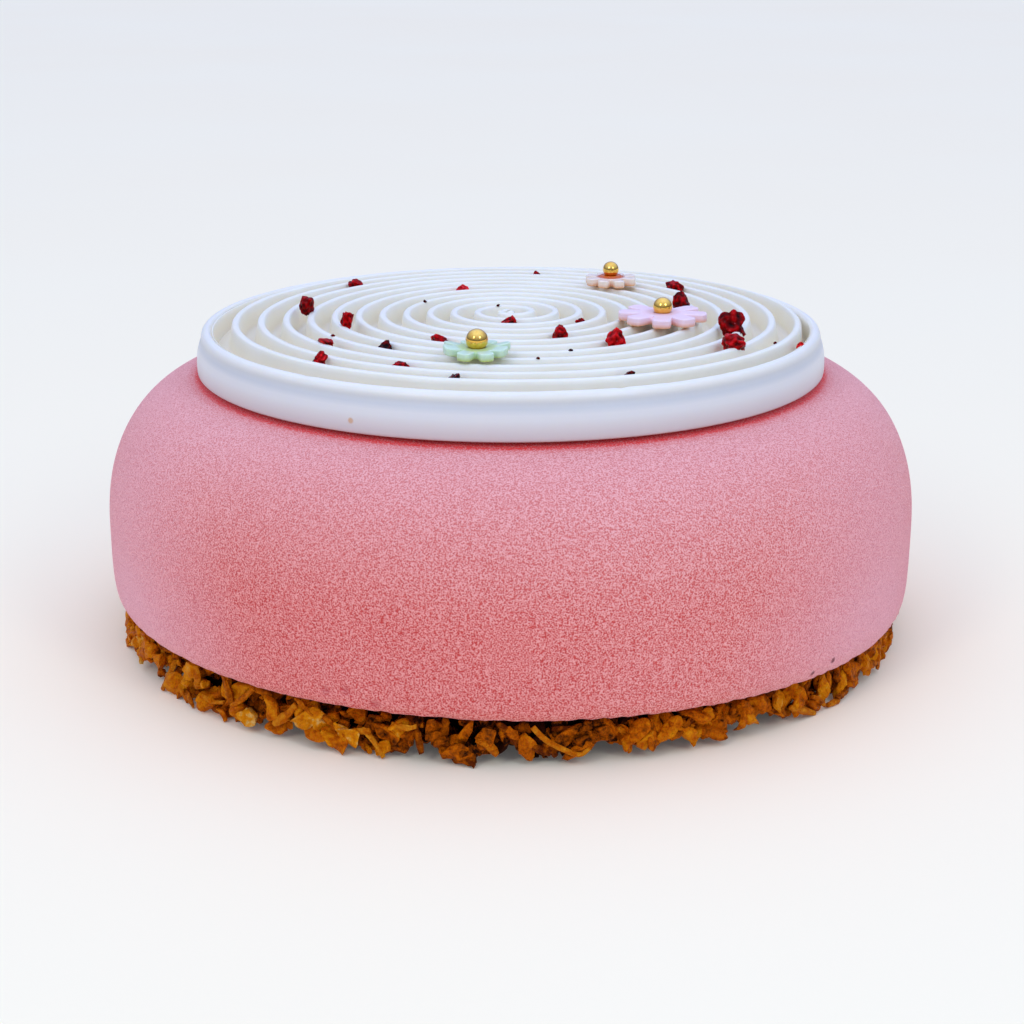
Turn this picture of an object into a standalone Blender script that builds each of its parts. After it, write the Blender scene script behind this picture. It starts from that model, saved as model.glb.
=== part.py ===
"""A round mousse cake with a velvet skin, on a crunchy flake base.

A white chocolate plaque with one spiral groove lies on top. Three small flowers with a
golden pearl each and some raspberry pieces are scattered on it.
All sizes are in metres. +Z is up, +X is the right of the cake and -Y is its front.
The origin is the middle of the base, on the surface that the cake stands on.
"""

import math
import random

import bmesh
import bpy
from mathutils import Matrix, Vector

# Driving dimensions of the mousse body
BODY_RADIUS = 0.0900
WIDEST_HEIGHT = 0.0264
TOP_HEIGHT = 0.0595
TOP_RADIUS = 0.0600
FOOT_RADIUS = 0.0875
SHOULDER_POWER = 2.4
FLANK_POWER = 3.4
BODY_SEGMENTS = 64

# The flake base is thicker at the left, so the mousse leans a little to the right
BASE_HEIGHT = 0.0099
BASE_TILT = math.radians(0.86)
BASE_FLAT_RADIUS = 0.0740
BASE_CORE_RADIUS = 0.0828
FLAKE_REACH = 0.0882
FLAKE_TOP_MARGIN = 0.0002
CORE_SEGMENTS = 72
FLAKES_PER_TIER = (57, 49)
# Where the ragged lower edge stands open: degrees from +X, and how far from 0 to 1
OPENINGS = (
    (-154, 0.55),
    (-119, 1.00),
    (-102, 0.80),
    (-91, 0.75),
    (-84, 0.35),
    (-78, 0.90),
    (-73, 0.45),
    (-68, 0.70),
    (-61, 0.45),
    (-55, 0.95),
    (-29, 0.50),
)
OPENING_HALF_WIDTH = math.radians(2.6)

# Chocolate plaque
GAP = 0.0003
PLAQUE_BOTTOM = TOP_HEIGHT + GAP
PITCH = 0.00526
CREST_HEIGHT = 0.0714
CREST_FALL = 0.304
# The crests rise a little towards the front, and the outer turns stand wider apart
CREST_LEAN = 0.005
SPREAD_START = 0.042
SPREAD_LENGTH = 0.020
SPREAD = 0.0009
CREST_HALF_WIDTH = 0.145 * PITCH
CREST_PHASE = 0.128
GROOVE_DEPTH = 0.0048
WALL_DRAFT = 0.0006
RIM_INNER_RADIUS = 0.0659
RIM_INNER_HEIGHT = 0.0687
RIM_OUTLINE = (
    (0.0667, 0.0690),
    (0.0677, 0.0687),
    (0.0682, 0.0679),
    (0.0684, 0.0667),
    (0.0689, 0.0652),
    (0.0693, 0.0630),
    (0.0693, 0.0603),
    (0.0690, PLAQUE_BOTTOM),
)
TURNS = 13
PLAQUE_SEGMENTS = 44

# Flowers: name, place, petal reach, petal width, thickness, rise of the petals at the left
# and right, rise of the hub, radius of the pearl, first angle
PETALS = 8
FLOWERS = (
    ("mint", (-0.0068, -0.0446), 0.0071, 0.0031, 0.0017, 0.0010, -0.0004, 0.00230, 19),
    ("pink", (0.0329, -0.0113), 0.0097, 0.0042, 0.0019, 0.0, -0.0007, 0.00212, -7),
    ("orange", (0.0236, 0.0312), 0.0061, 0.0026, 0.0018, 0.0, 0.0004, 0.00188, 22),
)
HUB_SHARE = 0.9

# Raspberry pieces: place, length, depth, height, rise over the crests, turn in degrees
RASPBERRY = (
    ((-0.0369, 0.0358), 0.0034, 0.0042, 0.0032, 0.0012, 20),
    ((-0.0454, 0.0010), 0.0034, 0.0034, 0.0044, 0.0035, 80),
    ((-0.0352, -0.0142), 0.0030, 0.0030, 0.0042, 0.0030, 60),
    ((-0.0383, -0.0305), 0.0052, 0.0024, 0.0019, 0.0009, 35),
    ((-0.0386, -0.0440), 0.0024, 0.0034, 0.0037, 0.0015, 50),
    ((-0.0259, -0.0335), 0.0028, 0.0042, 0.0030, 0.0009, 10),
    ((-0.0219, -0.0486), 0.0033, 0.0042, 0.0025, 0.0004, 0),
    ((-0.0111, -0.0586), 0.0028, 0.0042, 0.0026, 0.0004, 0),
    ((-0.0151, -0.0281), 0.0044, 0.0042, 0.0032, 0.0011, 15),
    ((-0.0003, -0.0113), 0.0037, 0.0042, 0.0032, 0.0012, 0),
    ((-0.0112, 0.0276), 0.0033, 0.0042, 0.0024, 0.0007, 30),
    ((0.0063, 0.0502), 0.0022, 0.0042, 0.0022, 0.0005, 0),
    ((0.0103, -0.0254), 0.0030, 0.0042, 0.0042, 0.0022, 70),
    ((0.0215, -0.0314), 0.0042, 0.0044, 0.0052, 0.0032, 35),
    ((0.0153, -0.0095), 0.0015, 0.0042, 0.0020, 0.0003, 0),
    ((0.0389, 0.0312), 0.0042, 0.0042, 0.0034, 0.0015, -15),
    ((0.0384, 0.0066), 0.0042, 0.0042, 0.0050, 0.0036, 0),
    ((0.0475, -0.0165), 0.0046, 0.0062, 0.0063, 0.0043, 0),
    ((0.0465, -0.0315), 0.0068, 0.0056, 0.0048, 0.0025, 20),
    ((0.0614, -0.0234), 0.0016, 0.0020, 0.0020, 0.0006, 0),
    ((0.0234, -0.0548), 0.0020, 0.0042, 0.0022, 0.0003, 0),
)

# Colours as seen, red, green and blue from 0 to 255
PINK_VELVET = (226, 142, 144)
WHITE_CHOCOLATE = (236, 236, 238)
GOLDEN_FLAKE = (170, 104, 28)
GOLD = (212, 170, 90)
FLOWER_COLOURS = {
    "mint": (196, 226, 214),
    "pink": (232, 200, 214),
    "orange": (240, 190, 160),
}
SMOOTH_ANGLE = math.radians(35)
FLAT_ANGLE = math.radians(0.3)
WELD = 0.000002


def linear(colour):
    """Turn a colour as seen into the values that a shader takes."""
    result = []
    for level in colour:
        share = level / 255
        if share <= 0.04045:
            result.append(share / 12.92)
        else:
            result.append(((share + 0.055) / 1.055) ** 2.4)
    return (*result, 1.0)


def add_material(item, colour, roughness, metallic=0.0):
    """Give an object its own material."""
    material = bpy.data.materials.new(item.name)
    material.use_nodes = True
    shader = material.node_tree.nodes["Principled BSDF"]
    shader.inputs["Base Color"].default_value = linear(colour)
    shader.inputs["Roughness"].default_value = roughness
    shader.inputs["Metallic"].default_value = metallic
    item.data.materials.append(material)


def finish_object(name, mesh_data, smooth=True):
    """Weld, triangulate and orient a mesh, and make it an object of the scene."""
    bmesh.ops.remove_doubles(mesh_data, verts=mesh_data.verts, dist=WELD)
    bmesh.ops.dissolve_degenerate(mesh_data, edges=mesh_data.edges, dist=WELD)
    bmesh.ops.triangulate(mesh_data, faces=mesh_data.faces)
    bmesh.ops.recalc_face_normals(mesh_data, faces=mesh_data.faces)
    mesh = bpy.data.meshes.new(name)
    mesh_data.to_mesh(mesh)
    mesh_data.free()
    if smooth:
        mesh.shade_smooth()
        mesh.set_sharp_from_angle(angle=SMOOTH_ANGLE)
    item = bpy.data.objects.new(name, mesh)
    bpy.context.scene.collection.objects.link(item)
    return item


def bridge(mesh_data, first, second):
    """Join two rows of vertices of equal length with faces, closing them into a ring."""
    count = len(first)
    for index in range(count):
        after = (index + 1) % count
        mesh_data.faces.new((first[index], first[after], second[after], second[index]))


def fan(mesh_data, ring, middle):
    """Close a ring of vertices with triangles to a middle vertex."""
    count = len(ring)
    for index in range(count):
        mesh_data.faces.new((ring[index], ring[(index + 1) % count], middle))


def base_top(across):
    """Height of the underside of the mousse at a distance to the right."""
    return BASE_HEIGHT - across * math.tan(BASE_TILT)


def rounded(share, power):
    """One coordinate of a quarter of a superellipse."""
    return max(share, 0.0) ** (2 / power)


def body_profile(angle):
    """Radius and height of the mousse's outline from the flat top down to its foot."""
    foot_height = base_top(FOOT_RADIUS * math.cos(angle))
    points = []
    shoulder_steps = 8
    for step in range(shoulder_steps + 1):
        swing = math.pi / 2 * (1 - step / shoulder_steps)
        radius = TOP_RADIUS + (BODY_RADIUS - TOP_RADIUS) * rounded(math.cos(swing), SHOULDER_POWER)
        height = WIDEST_HEIGHT + (TOP_HEIGHT - WIDEST_HEIGHT) * rounded(math.sin(swing), SHOULDER_POWER)
        points.append((radius, height))
    flank_steps = 6
    for step in range(1, flank_steps + 1):
        swing = math.pi / 2 * step / flank_steps
        radius = FOOT_RADIUS + (BODY_RADIUS - FOOT_RADIUS) * rounded(math.cos(swing), FLANK_POWER)
        height = WIDEST_HEIGHT - (WIDEST_HEIGHT - foot_height) * rounded(math.sin(swing), FLANK_POWER)
        points.append((radius, height))
    return points


def make_mousse():
    """The mousse drum, turned from its profile, with a foot that follows the leaning base."""
    mesh_data = bmesh.new()
    columns = []
    for index in range(BODY_SEGMENTS):
        angle = 2 * math.pi * index / BODY_SEGMENTS
        column = []
        for radius, height in body_profile(angle):
            place = (radius * math.cos(angle), radius * math.sin(angle), height)
            column.append(mesh_data.verts.new(place))
        columns.append(column)
    rings = list(zip(*columns))
    for upper, lower in zip(rings, rings[1:]):
        bridge(mesh_data, upper, lower)
    fan(mesh_data, rings[0], mesh_data.verts.new((0, 0, TOP_HEIGHT)))
    fan(mesh_data, rings[-1], mesh_data.verts.new((0, 0, BASE_HEIGHT)))
    item = finish_object("mousse", mesh_data)
    add_material(item, PINK_VELVET, 0.9)
    return item


def opening_share(angle):
    """How far the ragged edge stands open at an angle, from 0 to 1."""
    share = 0.0
    for degrees, depth in OPENINGS + BACK_OPENINGS:
        apart = math.remainder(angle - math.radians(degrees), 2 * math.pi)
        share = max(share, depth * math.exp(-(apart / OPENING_HALF_WIDTH) ** 2))
    return share


def back_openings():
    """Openings at the back and the sides, spaced as unevenly as those in front."""
    draw = random.Random(21)
    result = []
    place = -12.0
    while place < 190:
        result.append((place, draw.uniform(0.4, 1.0)))
        place += draw.uniform(9, 20)
    return tuple(result)


BACK_OPENINGS = back_openings()


def make_core():
    """The crumbly middle of the base, with an uneven side and a flat underside."""
    draw = random.Random(5)
    outline = (
        (BASE_FLAT_RADIUS, 0.0, 0.0),
        (BASE_CORE_RADIUS - 0.0030, 0.0018, 0.0010),
        (BASE_CORE_RADIUS, 0.0046, 0.0010),
    )
    mesh_data = bmesh.new()
    columns = []
    for index in range(CORE_SEGMENTS):
        angle = 2 * math.pi * index / CORE_SEGMENTS
        column = []
        for radius, height, roughness in outline:
            reach = radius + draw.uniform(-roughness, roughness)
            column.append(mesh_data.verts.new((reach * math.cos(angle), reach * math.sin(angle), height)))
        reach = BASE_CORE_RADIUS + draw.uniform(0, 0.0008)
        across = reach * math.cos(angle)
        column.append(mesh_data.verts.new((across, reach * math.sin(angle), base_top(across) - GAP)))
        columns.append(column)
    rings = list(zip(*columns))
    for lower, upper in zip(rings, rings[1:]):
        bridge(mesh_data, lower, upper)
    fan(mesh_data, rings[0], mesh_data.verts.new((0, 0, 0)))
    fan(mesh_data, rings[-1], mesh_data.verts.new((0, 0, BASE_HEIGHT - GAP)))
    return finish_object("crunch_base", mesh_data, smooth=False)


def flake_corners(length, width, depth, draw):
    """The eight corners of a broken flake, narrower at one end and on its outer face."""
    corners = []
    for end in (-1, 1):
        taper = draw.uniform(0.5, 1.0)
        skew = draw.uniform(-0.3, 0.3) * length
        for side in (-1, 1):
            for face in (-1, 1):
                shrink = draw.uniform(0.55, 0.95) if face > 0 else 1.0
                corners.append(Vector((
                    (end * length / 2 + side * skew / 2) * shrink,
                    side * width / 2 * taper * shrink,
                    face * depth / 2 * draw.uniform(0.75, 1.0),
                )))
    return corners


def add_flake(name, angle, radius, height, size, draw):
    """One flake on the side of the base, kept above the floor and below the mousse."""
    dip = math.radians(draw.uniform(-65, 65))
    yaw = math.radians(draw.uniform(-22, 22))
    roll = math.radians(draw.uniform(-22, 22))
    turn = (
        Matrix.Rotation(angle + math.pi / 2, 4, "Z")
        @ Matrix.Rotation(yaw, 4, "Z")
        @ Matrix.Rotation(dip, 4, "Y")
        @ Matrix.Rotation(math.pi / 2 + roll, 4, "X")
    )
    middle = Vector((radius * math.cos(angle), radius * math.sin(angle), height))
    mesh_data = bmesh.new()
    for corner in flake_corners(*size, draw):
        place = middle + turn @ corner
        reach = math.hypot(place.x, place.y)
        if reach > FLAKE_REACH:
            place.x *= FLAKE_REACH / reach
            place.y *= FLAKE_REACH / reach
        ceiling = base_top(place.x) - GAP - FLAKE_TOP_MARGIN
        place.z = min(max(place.z, 0.0), ceiling)
        mesh_data.verts.new(place)
    bmesh.ops.convex_hull(mesh_data, input=mesh_data.verts)
    return finish_object(name, mesh_data, smooth=False)


def scatter_flakes():
    """Two tiers of flakes round the side, fewer and higher where the edge stands open."""
    draw = random.Random(11)
    flakes = []
    for tier, count in enumerate(FLAKES_PER_TIER):
        for index in range(count):
            angle = 2 * math.pi * (index + 0.5 * tier + draw.uniform(-0.3, 0.3)) / count
            space = opening_share(angle)
            ceiling = base_top(BASE_CORE_RADIUS * math.cos(angle)) - GAP
            if tier == 0:
                height = 0.0018 + draw.uniform(0, 0.0014) + 0.0030 * space
                radius = 0.0842 + draw.uniform(-0.0008, 0.0012) - 0.0024 * space
                length = draw.uniform(0.0050, 0.0085)
                width = draw.uniform(0.0028, 0.0042)
            else:
                height = ceiling - draw.uniform(0.0016, 0.0034)
                radius = 0.0842 + draw.uniform(-0.0010, 0.0008)
                length = draw.uniform(0.0055, 0.0090)
                width = draw.uniform(0.0024, 0.0036)
            size = (length, width, draw.uniform(0.0050, 0.0066))
            flakes.append(add_flake("flake", angle, radius, height, size, draw))
    return flakes


def fuse(item, pieces, solver):
    """Join loose pieces to an object with one union, and keep its one outer body."""
    collection = bpy.data.collections.new("pieces")
    bpy.context.scene.collection.children.link(collection)
    for piece in pieces:
        bpy.context.scene.collection.objects.unlink(piece)
        collection.objects.link(piece)
    modifier = item.modifiers.new("union", "BOOLEAN")
    modifier.operation = "UNION"
    modifier.operand_type = "COLLECTION"
    modifier.collection = collection
    modifier.solver = solver
    depsgraph = bpy.context.evaluated_depsgraph_get()
    fused = bpy.data.meshes.new_from_object(item.evaluated_get(depsgraph))
    item.modifiers.clear()
    old_mesh = item.data
    item.data = fused
    fused.name = item.name
    bpy.data.meshes.remove(old_mesh)
    for piece in pieces:
        bpy.data.objects.remove(piece, do_unlink=True)
    bpy.data.collections.remove(collection)
    keep_largest_body(item.data)


def keep_largest_body(mesh):
    """Drop loose scraps and sealed hollows, then weld and triangulate what is left."""
    mesh_data = bmesh.new()
    mesh_data.from_mesh(mesh)
    bmesh.ops.remove_doubles(mesh_data, verts=mesh_data.verts, dist=WELD)
    bmesh.ops.dissolve_degenerate(mesh_data, edges=mesh_data.edges, dist=WELD)
    bmesh.ops.dissolve_limit(
        mesh_data, angle_limit=FLAT_ANGLE, verts=mesh_data.verts, edges=mesh_data.edges
    )
    bmesh.ops.triangulate(mesh_data, faces=mesh_data.faces)
    waiting = set(mesh_data.verts)
    bodies = []
    while waiting:
        body = set()
        edge_of_search = [waiting.pop()]
        while edge_of_search:
            vertex = edge_of_search.pop()
            body.add(vertex)
            for edge in vertex.link_edges:
                neighbour = edge.other_vert(vertex)
                if neighbour in waiting:
                    waiting.remove(neighbour)
                    edge_of_search.append(neighbour)
        bodies.append(body)
    bodies.sort(key=len, reverse=True)
    for body in bodies[1:]:
        bmesh.ops.delete(mesh_data, geom=list(body), context="VERTS")
    mesh_data.to_mesh(mesh)
    mesh_data.free()


def make_crunch_base():
    """The flake base: its core with the flakes that show fused on."""
    item = make_core()
    fuse(item, scatter_flakes(), "EXACT")
    add_material(item, GOLDEN_FLAKE, 0.7)
    return item


def crest_surface(radius, angle):
    """Height of the plaque's crests, which fall a little outward and then to the rim."""
    height = CREST_HEIGHT - CREST_FALL * radius ** 2
    share = (radius - RIM_INNER_RADIUS + PITCH / 2) / (PITCH / 2)
    share = min(max(share, 0.0), 1.0)
    share = share * share * (3 - 2 * share)
    height += (RIM_INNER_HEIGHT - height) * share
    return height - CREST_LEAN * radius * math.sin(angle)


def crest_radius(turns):
    """Distance of the spiral's crest from the middle after a number of turns."""
    radius = PITCH * turns
    return radius + SPREAD * (max(0.0, radius - SPREAD_START) / SPREAD_LENGTH) ** 2


def groove_floor(inner, outer, angle):
    """The two foot points of the groove between two crest edges, shallower where it is narrow."""
    width = outer - inner
    draft = min(WALL_DRAFT, width / 2)
    full_width = PITCH - 2 * CREST_HALF_WIDTH
    depth = GROOVE_DEPTH * min(1.0, width / (0.4 * full_width))
    first = inner + draft
    second = outer - draft
    return (
        (first, crest_surface(first, angle) - depth),
        (second, crest_surface(second, angle) - depth),
    )


def rim_points(angle):
    """The rim's outline at an angle: its upper points lean with the crests."""
    points = [(RIM_INNER_RADIUS, crest_surface(RIM_INNER_RADIUS, angle))]
    for radius, height in RIM_OUTLINE:
        share = (height - PLAQUE_BOTTOM) / (RIM_INNER_HEIGHT - PLAQUE_BOTTOM)
        points.append((radius, height - share * CREST_LEAN * radius * math.sin(angle)))
    return points


def plaque_column(turn):
    """Radius and height of the plaque's upper side along one ray, from its middle outward.

    The spiral's crest moves outward by one pitch for each turn, so a ray at the end of a
    turn crosses the same crests as one at its start.
    """
    angle = 2 * math.pi * turn
    points = [(0.0, crest_surface(0.0, angle))]
    edge = CREST_HALF_WIDTH
    points.append((edge, crest_surface(edge, angle)))
    for number in range(TURNS):
        middle = crest_radius(number + turn - CREST_PHASE)
        inner = min(max(middle - CREST_HALF_WIDTH, CREST_HALF_WIDTH), RIM_INNER_RADIUS)
        outer = min(max(middle + CREST_HALF_WIDTH, CREST_HALF_WIDTH), RIM_INNER_RADIUS)
        points.extend(groove_floor(edge, inner, angle))
        points.append((inner, crest_surface(inner, angle)))
        points.append((outer, crest_surface(outer, angle)))
        edge = outer
    points.extend(groove_floor(edge, RIM_INNER_RADIUS, angle))
    points.extend(rim_points(angle))
    points.append((0.0, PLAQUE_BOTTOM))
    return points


def make_plaque():
    """The plaque with its spiral groove, and the raspberry pieces that stick in it."""
    mesh_data = bmesh.new()
    columns = []
    for index in range(PLAQUE_SEGMENTS + 1):
        turn = index / PLAQUE_SEGMENTS
        angle = 2 * math.pi * turn
        column = []
        for radius, height in plaque_column(turn):
            place = (radius * math.cos(angle), radius * math.sin(angle), height)
            column.append(mesh_data.verts.new(place))
        columns.append(column)
    for first, second in zip(columns, columns[1:]):
        for row in range(len(first) - 1):
            mesh_data.faces.new((first[row], second[row], second[row + 1], first[row + 1]))
    item = finish_object("chocolate_plaque", mesh_data)
    fuse(item, [add_raspberry(*row) for row in RASPBERRY], "EXACT")
    add_material(item, WHITE_CHOCOLATE, 0.35)
    return item


def add_raspberry(place, length, depth, height, rise, turn):
    """One dried raspberry piece, an uneven lump sunk between the crests."""
    draw = random.Random(round(place[0] * 1e4) * 1000 + round(place[1] * 1e4))
    mesh_data = bmesh.new()
    bmesh.ops.create_icosphere(mesh_data, subdivisions=1, radius=0.5)
    angle = math.atan2(place[1], place[0])
    towards = angle + math.pi / 2
    for vertex in mesh_data.verts:
        vertex.co *= draw.uniform(0.86, 1.10)
    bmesh.ops.rotate(mesh_data, verts=mesh_data.verts, matrix=Matrix.Rotation(math.radians(turn), 3, "Z"))
    bmesh.ops.scale(mesh_data, verts=mesh_data.verts, vec=(length, depth, height))
    bmesh.ops.rotate(mesh_data, verts=mesh_data.verts, matrix=Matrix.Rotation(towards, 3, "Z"))
    lift = crest_surface(math.hypot(*place), angle) + rise - height / 2
    bmesh.ops.translate(mesh_data, verts=mesh_data.verts, vec=(place[0], place[1], lift))
    return finish_object("raspberry", mesh_data, smooth=False)


def petal_outline(reach, width, first_angle):
    """Outline of a flower as polar points: a notch, then the four corners of each petal."""
    hub = width / 2 / math.sin(math.pi / PETALS) * HUB_SHARE
    points = []
    for number in range(PETALS):
        heading = math.radians(first_angle - 90) + 2 * math.pi * number / PETALS
        points.append((hub, heading - math.pi / PETALS))
        for along, aside in ((0.84, -0.5), (1.0, -0.26), (1.0, 0.26), (0.84, 0.5)):
            distance = math.hypot(along * reach, aside * width)
            points.append((distance, heading + math.atan2(aside * width, along * reach)))
    return points


def make_flower(name, place, reach, width, thickness, curl, rise, pearl_radius, first_angle):
    """A flower slab with a hollow in its middle, and the pearl that lies in the hollow."""
    distance = math.hypot(*place)
    towards = math.atan2(place[1], place[0])
    nearest = crest_surface(distance - reach, towards)
    bottom = max(nearest, crest_surface(distance + reach, towards)) + GAP
    hub_top = bottom + thickness + rise
    seat_radius = pearl_radius * 0.88
    seat_depth = min(thickness + rise - 0.0005, 0.0009)
    outline = petal_outline(reach, width, first_angle)
    mesh_data = bmesh.new()
    rings = ([], [], [])
    for distance, angle in outline:
        across = math.cos(angle)
        deep = math.sin(angle)
        lift = curl * across ** 4 * (distance / reach) ** 2
        spots = (
            (distance, bottom + lift),
            (distance, bottom + thickness + lift),
            (seat_radius, hub_top),
        )
        for ring, (radius, height) in zip(rings, spots):
            ring.append(mesh_data.verts.new((place[0] + radius * across, place[1] + radius * deep, height)))
    bridge(mesh_data, rings[0], rings[1])
    bridge(mesh_data, rings[1], rings[2])
    fan(mesh_data, rings[0], mesh_data.verts.new((*place, bottom)))
    fan(mesh_data, rings[2], mesh_data.verts.new((*place, hub_top - seat_depth)))
    flower = finish_object("flower_" + name, mesh_data)
    add_material(flower, FLOWER_COLOURS[name], 0.35)

    pearl_data = bmesh.new()
    bmesh.ops.create_uvsphere(pearl_data, u_segments=14, v_segments=9, radius=pearl_radius)
    lift = hub_top - seat_depth + GAP + pearl_radius
    bmesh.ops.translate(pearl_data, verts=pearl_data.verts, vec=(*place, lift))
    pearl = finish_object("pearl_" + name, pearl_data)
    add_material(pearl, GOLD, 0.2, 1.0)
    return flower, pearl


def main():
    for item in list(bpy.data.objects):
        bpy.data.objects.remove(item, do_unlink=True)
    make_mousse()
    make_crunch_base()
    make_plaque()
    for row in FLOWERS:
        make_flower(*row)


main()
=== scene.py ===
"""Looks of the velvet mousse cake: finishes, the fine spiral, the flakes and the toppings.

Everything is in metres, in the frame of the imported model. +X is the right of the cake, -Y its
front and +Z is up. The camera stands where the photograph was taken from.
"""

import random
from math import atan2, copysign, cos, exp, hypot, pi, radians, remainder, sin, sqrt, tan

import bmesh
import bpy
from mathutils import Matrix, Vector, noise


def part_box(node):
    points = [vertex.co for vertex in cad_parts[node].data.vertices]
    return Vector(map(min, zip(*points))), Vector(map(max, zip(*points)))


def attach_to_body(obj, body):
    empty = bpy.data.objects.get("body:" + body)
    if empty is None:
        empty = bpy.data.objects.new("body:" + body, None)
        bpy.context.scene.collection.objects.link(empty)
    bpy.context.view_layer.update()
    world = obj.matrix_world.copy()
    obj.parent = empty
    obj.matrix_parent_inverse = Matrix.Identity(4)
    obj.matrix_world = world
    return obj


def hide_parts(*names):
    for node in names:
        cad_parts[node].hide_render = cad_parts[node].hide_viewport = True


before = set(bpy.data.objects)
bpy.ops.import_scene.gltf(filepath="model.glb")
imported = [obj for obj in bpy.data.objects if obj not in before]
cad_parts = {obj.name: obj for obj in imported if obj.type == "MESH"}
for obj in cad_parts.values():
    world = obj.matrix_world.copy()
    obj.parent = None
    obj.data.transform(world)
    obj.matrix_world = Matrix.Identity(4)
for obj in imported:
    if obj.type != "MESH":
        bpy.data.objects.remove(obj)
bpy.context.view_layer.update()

# Edges that fold more sharply than these angles are shaded as edges
SHARP_ANGLE = radians(50)
PLAQUE_SHARP_ANGLE = radians(60)
# A length too short to see
HAIR = 0.0001

# The floor reaches so far that its edge lies near the horizon
FLOOR_HALF_WIDTH = 30.0

# Camera, fitted to the lines of the spiral, the rim and the body's outline
CAMERA_DISTANCE = 0.4565
CAMERA_HEIGHT = 0.1658
CAMERA_PITCH = radians(17.2)
CAMERA_LENS = 73.5
CAMERA_SHIFT = 0.0013

# The soft room: its strength at the horizon and straight above, and its colour
SKY_LOW = 0.18
SKY_HIGH = 1.36
SKY_COLOUR = (0.78, 0.93, 1.50, 1.0)
# Soft windows: name, place, size, power and colour
WINDOWS = (
    ("left_window", (-0.62, -0.95, 0.85), (0.30, 0.42), 2.4, (0.84, 0.90, 1.0)),
    ("right_window", (0.66, -0.90, 0.80), (0.30, 0.42), 2.4, (0.70, 0.84, 1.0)),
)

# Points closer than this are merged
WELD_DISTANCE = 0.000002

# Mousse body
BODY_RADIUS = 0.0900
WIDEST_HEIGHT = 0.0264
TOP_HEIGHT = 0.0595
TOP_RADIUS = 0.0600
FOOT_RADIUS = 0.0875
SHOULDER_POWER = 2.4
FLANK_POWER = 3.4
BODY_SEGMENTS = 460
SHOULDER_STEPS = 60
FLANK_STEPS = 38
BASE_HEIGHT = 0.0099
BASE_TILT = radians(0.86)
# The grain of the sprayed skin: its scale and depth
GRAIN_SCALE = 3150
GRAIN_DEPTH = 0.00020
# Painted sheen of the light from above: the skin pales between these heights
PAINTED_SHEEN_LOW = 0.030
PAINTED_SHEEN_HIGH = 0.056
# Middle and reach of the patch low at the front where the spray is warmer, partly in its own colour and
# partly as painted warm light
WARM_LIGHT_PATCH = (-0.030, -0.080, 0.016)
WARM_LIGHT_REACH = (0.015, 0.060)
# Middles and reach of the paler patches of painted sheen low at both sides
PAINTED_SHEEN_PATCHES = ((0.075, -0.050, 0.010), (-0.080, -0.042, 0.010))
PAINTED_SHEEN_PATCH_REACH = (0.010, 0.045)
# The painted red shadow and glow of bounced light in the crease round the plaque: its inner
# radius, the height that it starts from, and the radii that its two painted shades reach
SHADOW_CREASE_START = 0.0692
SHADOW_CREASE_HEIGHT = 0.050
PAINTED_GLOW_REACH = 0.0720
PAINTED_SHADOW_REACH = 0.0702
# Small pits, drawn only as painted shade, and shallow dents with painted shade in them, near the foot:
# place, and radius
PITS = (
    ((0.0652, -0.0611, 0.0120), 0.0006),
    ((0.0605, -0.0653, 0.0109), 0.0005),
)
DENTS = (
    ((-0.0357, -0.0822, 0.0139), 0.0009),
    ((-0.0318, -0.0839, 0.0145), 0.0009),
    ((-0.0261, -0.0855, 0.0123), 0.0011),
)
DENT_DEPTH = 0.00035
# Unevenness of the body, and of the band above its foot
UNEVENNESS = 0.00010
FOOT_BAND = 0.0025
FOOT_ROUGHNESS = 0.00045
FOOT_LIFT = 0.00035

# Chocolate plaque
GAP = 0.0003
PLAQUE_BOTTOM = TOP_HEIGHT + GAP
PITCH = 0.00526
TURNS = 13
CREST_HEIGHT = 0.0714
CREST_FALL = 0.304
CREST_LEAN = 0.005
SPREAD_START = 0.042
SPREAD_LENGTH = 0.020
SPREAD = 0.0009
CREST_HALF_WIDTH = 0.145 * PITCH
CREST_PHASE = 0.128
GROOVE_DEPTH = 0.0048
WALL_DRAFT = 0.0006
# A groove narrower than this share of the full width is less deep
SHALLOW_SHARE = 0.4
RIM_INNER_RADIUS = 0.0659
RIM_INNER_HEIGHT = 0.0687
RIM_OUTLINE = (
    (0.0667, 0.0690),
    (0.0677, 0.0687),
    (0.0682, 0.0679),
    (0.0684, 0.0667),
    (0.0689, 0.0652),
    (0.0693, 0.0630),
    (0.0693, 0.0603),
    (0.0690, PLAQUE_BOTTOM),
)
PLAQUE_SEGMENTS = 288
# Over half a crest: share of its half width, and how far it lies under the crest's height
CREST_SHAPE = ((1.0, 0.00032), (0.8, 0.00013), (0.5, 0.00003), (0.0, 0.0))
# Down a groove's wall: share of the wall's draft, and share of the groove's depth
WALL_SHAPE = ((0.30, 0.18), (0.60, 0.45), (0.95, 0.80), (1.40, 0.95), (2.10, 1.0))
# Unevenness of the plaque and of its rim
PLAQUE_UNEVENNESS = 0.00005
CHIP_DEPTH = 0.00045
CHIP_HEIGHT = 0.0675
# Radii and heights between which the plaque's colours change: from inside to its side, down its
# grooves into painted shade, up its painted shaded side, and into and out of the painted shade under its
# lip
SIDE_START = (0.0655, 0.0672)
GROOVE_SHADE = (0.0660, 0.0702)
SIDE_RISE = (0.0600, 0.0640)
LIP_SHADE_LOW = (0.0650, 0.0662)
LIP_SHADE_HIGH = (0.0672, 0.0684)
# Where the rim's edge is chipped: first and last angle in degrees
CHIPPED = ((-131, -119), (-76, -57))
# A tan crumb on the side of the plaque: place and radius
SPECK = ((-0.0312, -0.0619, 0.0623), 0.0006)

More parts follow.
